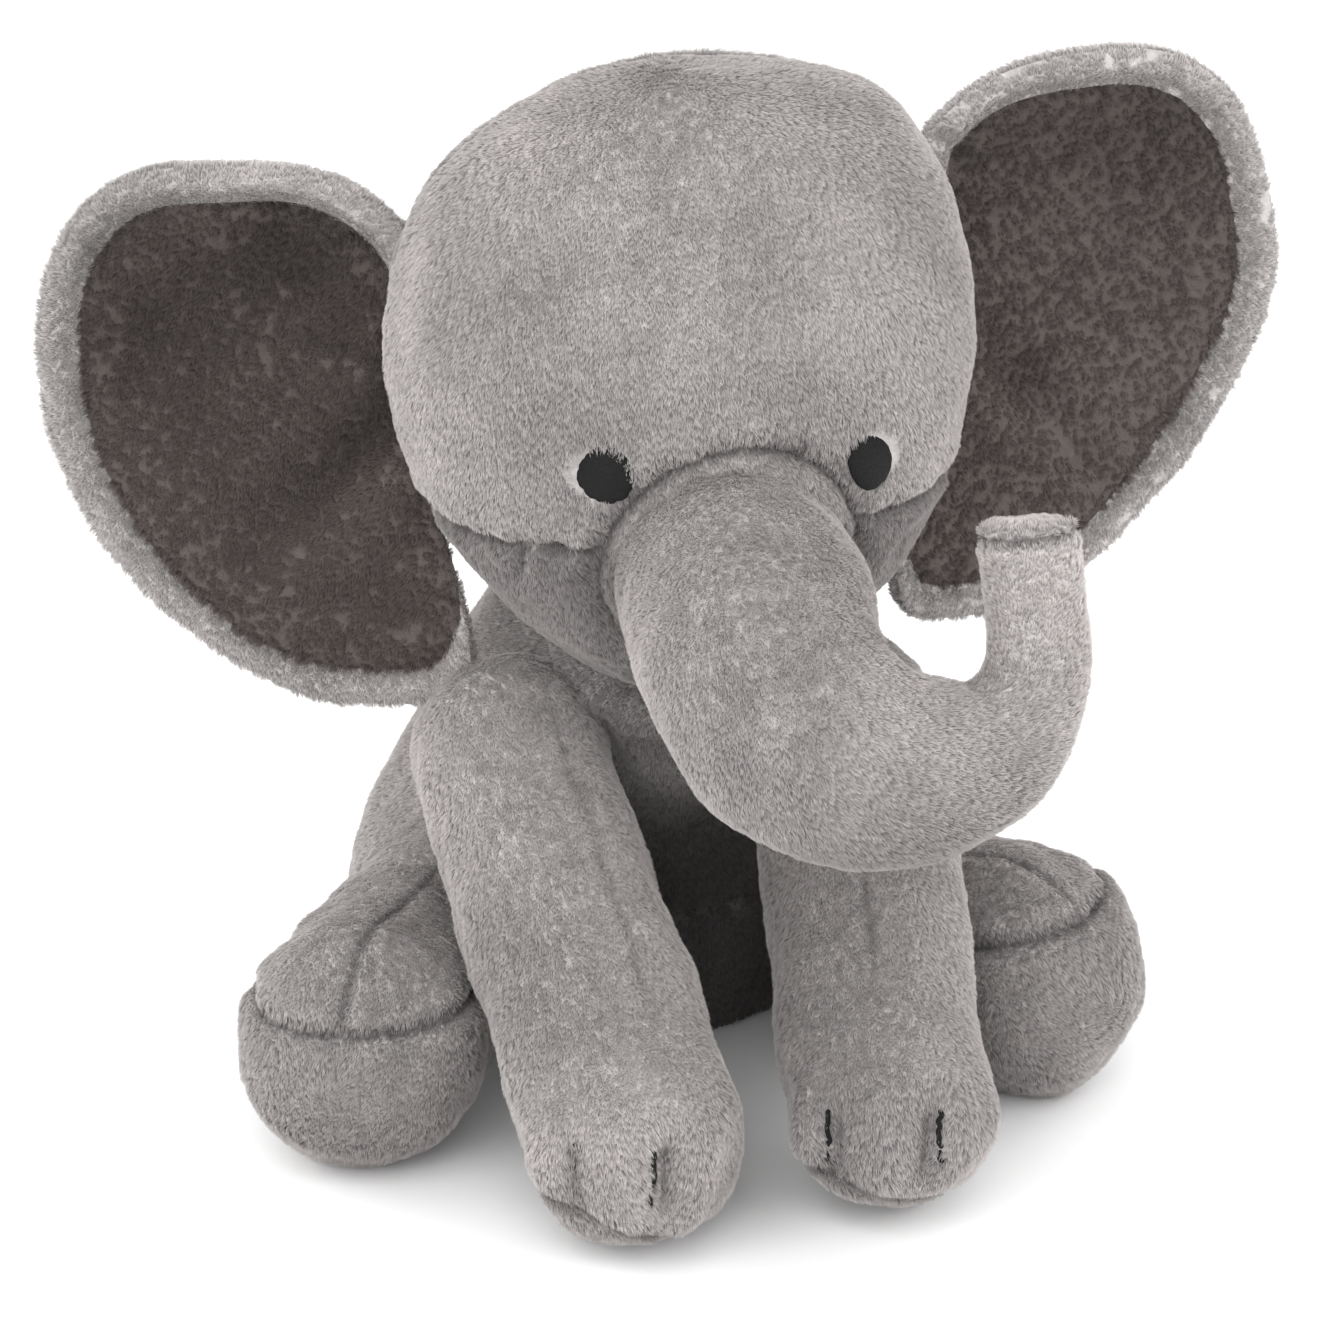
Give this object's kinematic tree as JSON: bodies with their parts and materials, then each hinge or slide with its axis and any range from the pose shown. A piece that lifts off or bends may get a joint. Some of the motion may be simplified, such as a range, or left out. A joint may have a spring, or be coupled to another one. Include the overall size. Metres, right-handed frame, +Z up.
{
  "type": "stuffed toy elephant",
  "caption": "Seated plush elephant with a big round head, wide padded ears, a trunk curled up to its left side, and front legs propped forward.",
  "frame": {"origin": "on the flat seat, under the middle of the body", "axes": "-Y is where the elephant faces, +X its left side, +Z up"},
  "size_m": [0.3087, 0.3121, 0.2591],
  "materials": {
    "plush": "grey short-pile minky plush, napped",
    "ear_lining": "dark grey-brown short-pile plush, napped",
    "thread": "black embroidery thread, matte",
    "filling": "white polyester fibre filling"
  },
  "bodies": {
    "torso": {"body_panel_left": "plush", "body_panel_right": "plush", "seat_panel": "plush", "body_stuffing": "filling"},
    "tail": {"tail": "plush"},
    "neck": {"neck_seam_thread": "thread"},
    "head": {"crown_panel": "plush", "back_of_head_panel": "plush", "cheek_panel_left": "plush", "cheek_panel_right": "plush", "head_stuffing": "filling", "eye_left": "thread", "eye_right": "thread"},
    "ear_left": {"ear_left_outer": "plush", "ear_left_lining": "ear_lining", "ear_left_batting": "filling"},
    "ear_right": {"ear_right_outer": "plush", "ear_right_lining": "ear_lining", "ear_right_batting": "filling"},
    "trunk_root": {"trunk_root_skin": "plush", "trunk_root_stuffing": "filling"},
    "trunk_end": {"trunk_end_skin": "plush", "trunk_end_stuffing": "filling", "trunk_tip_disc": "plush"},
    "front_leg_left": {"front_leg_left_outer": "plush", "front_leg_left_inner": "plush", "front_leg_left_sole": "plush", "front_leg_left_stuffing": "filling", "toe_stitch_left_outer": "thread", "toe_stitch_left_inner": "thread"},
    "front_leg_right": {"front_leg_right_outer": "plush", "front_leg_right_inner": "plush", "front_leg_right_sole": "plush", "front_leg_right_stuffing": "filling", "toe_stitch_right_outer": "thread", "toe_stitch_right_inner": "thread"},
    "hind_leg_left": {"hind_leg_left_outer": "plush", "hind_leg_left_inner": "plush", "hind_leg_left_foot": "plush", "hind_leg_left_stuffing": "filling"},
    "hind_leg_right": {"hind_leg_right_outer": "plush", "hind_leg_right_inner": "plush", "hind_leg_right_foot": "plush", "hind_leg_right_stuffing": "filling"}
  },
  "joints": [
    {"name": "head_turn", "type": "hinge", "parent": "torso", "child": "neck", "pos_m": [0, -0.06, 0.1045], "axis": [0, 0, 1], "range_deg": [-15, 15], "stiffness_Nm_per_rad": 3},
    {"name": "head_nod", "type": "hinge", "parent": "neck", "child": "head", "pos_m": [0, -0.06, 0.1045], "axis": [1, 0, 0], "range_deg": [-10, 10], "stiffness_Nm_per_rad": 40},
    {"name": "ear_left_fold", "type": "hinge", "parent": "head", "child": "ear_left", "pos_m": [0.06296, -0.054, 0.18895], "axis": [0.0785, 0, -0.9969], "range_deg": [-15, 25], "stiffness_Nm_per_rad": 1},
    {"name": "ear_right_fold", "type": "hinge", "parent": "head", "child": "ear_right", "pos_m": [-0.06265, -0.054, 0.17906], "axis": [-0.0785, 0, 0.9969], "range_deg": [-15, 25], "stiffness_Nm_per_rad": 1},
    {"name": "trunk_lift", "type": "hinge", "parent": "head", "child": "trunk_root", "pos_m": [0, -0.118, 0.152], "axis": [-1, 0, 0], "range_deg": [-10, 25], "stiffness_Nm_per_rad": 10},
    {"name": "trunk_curl", "type": "hinge", "parent": "trunk_root", "child": "trunk_end", "pos_m": [0.012, -0.191, 0.1305], "axis": [0, -1, 0], "range_deg": [-15, 15], "stiffness_Nm_per_rad": 5},
    {"name": "front_leg_left_lift", "type": "hinge", "parent": "torso", "child": "front_leg_left", "pos_m": [0.042, -0.068, 0.092], "axis": [-1, 0, 0], "range_deg": [-2, 18], "stiffness_Nm_per_rad": 25},
    {"name": "front_leg_right_lift", "type": "hinge", "parent": "torso", "child": "front_leg_right", "pos_m": [-0.042, -0.068, 0.092], "axis": [-1, 0, 0], "range_deg": [-2, 18], "stiffness_Nm_per_rad": 25},
    {"name": "hind_leg_left_splay", "type": "hinge", "parent": "torso", "child": "hind_leg_left", "pos_m": [0.046, -0.022, 0.031], "axis": [0, 0, 1], "range_deg": [0, 25], "stiffness_Nm_per_rad": 15},
    {"name": "hind_leg_right_splay", "type": "hinge", "parent": "torso", "child": "hind_leg_right", "pos_m": [-0.046, -0.022, 0.031], "axis": [0, 0, -1], "range_deg": [0, 25], "stiffness_Nm_per_rad": 15},
    {"name": "tail_lift", "type": "hinge", "parent": "torso", "child": "tail", "pos_m": [0, 0.066, 0.04], "axis": [1, 0, 0], "range_deg": [-20, 30], "stiffness_Nm_per_rad": 0.5}
  ]
}
